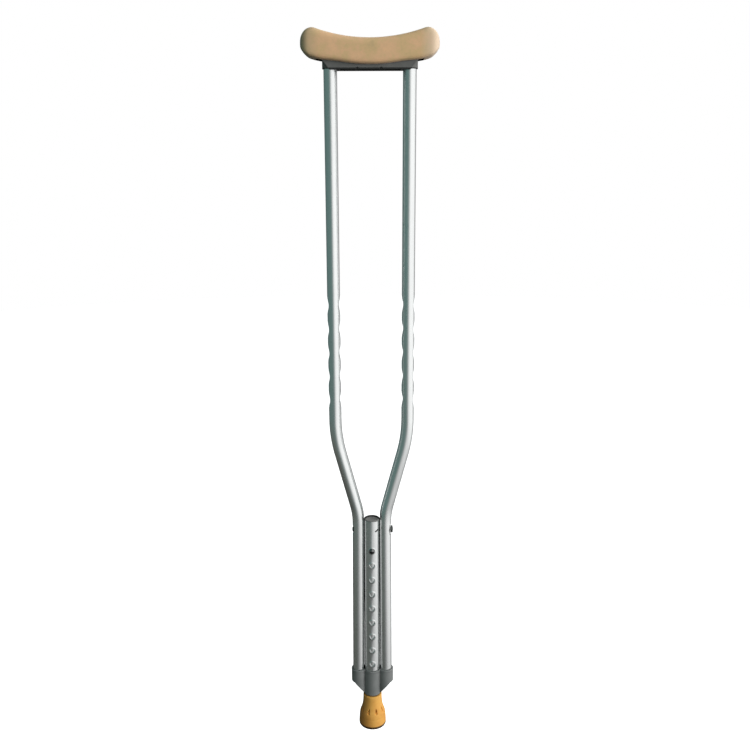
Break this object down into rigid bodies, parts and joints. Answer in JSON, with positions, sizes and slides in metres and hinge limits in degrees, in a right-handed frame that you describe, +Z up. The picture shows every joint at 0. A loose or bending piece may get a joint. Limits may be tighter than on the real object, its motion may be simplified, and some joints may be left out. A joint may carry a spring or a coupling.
{
  "type": "underarm crutch",
  "caption": "Aluminium underarm crutch: two bent uprights under a curved armpit pad, joined round a telescoping leg with a spring button and a flared rubber tip.",
  "frame": {"origin": "on the floor at the middle of the rubber tip's underside", "axes": "+Z up along the centre tube and leg; X across the two uprights, with the yoke nut on +X; -Y is the front, which the snap button and its row of holes face"},
  "size_m": [0.193, 0.045, 1.1009],
  "materials": {
    "tan_foam_rubber": "matte",
    "grey_plastic": "matte",
    "satin_aluminium": "satin",
    "rivet_aluminium": "satin",
    "zinc_steel": "satin",
    "spring_steel": "polished",
    "white_plastic": "satin",
    "orange_rubber": "matte"
  },
  "bodies": {
    "frame": {"underarm_pad": "tan_foam_rubber", "saddle": "grey_plastic", "left_upright": "satin_aluminium", "right_upright": "satin_aluminium", "centre_tube": "satin_aluminium", "centre_tube_plug": "grey_plastic", "yoke_bolt": "zinc_steel", "yoke_washer": "zinc_steel", "yoke_nut": "zinc_steel", "collar": "grey_plastic", "left_saddle_rivet": "rivet_aluminium", "right_saddle_rivet": "rivet_aluminium", "left_collar_rivet": "rivet_aluminium", "right_collar_rivet": "rivet_aluminium"},
    "leg": {"leg_tube": "satin_aluminium", "leg_top_plug": "white_plastic", "snap_spring": "spring_steel", "rubber_tip": "orange_rubber", "tip_washer": "zinc_steel"},
    "button": {"snap_button": "spring_steel"}
  },
  "joints": [
    {"name": "leg_slide", "type": "slide", "parent": "frame", "child": "leg", "axis": [0, 0, -1], "range_m": [0, 0.2032], "deforming": ["snap_spring", "snap_button"]},
    {"name": "button_press", "type": "slide", "parent": "leg", "child": "button", "axis": [0, 1, 0], "range_m": [0, 0.0042], "stiffness_N_per_m": 1200, "springref_m": -0.0015, "deforming": ["snap_spring"]}
  ]
}
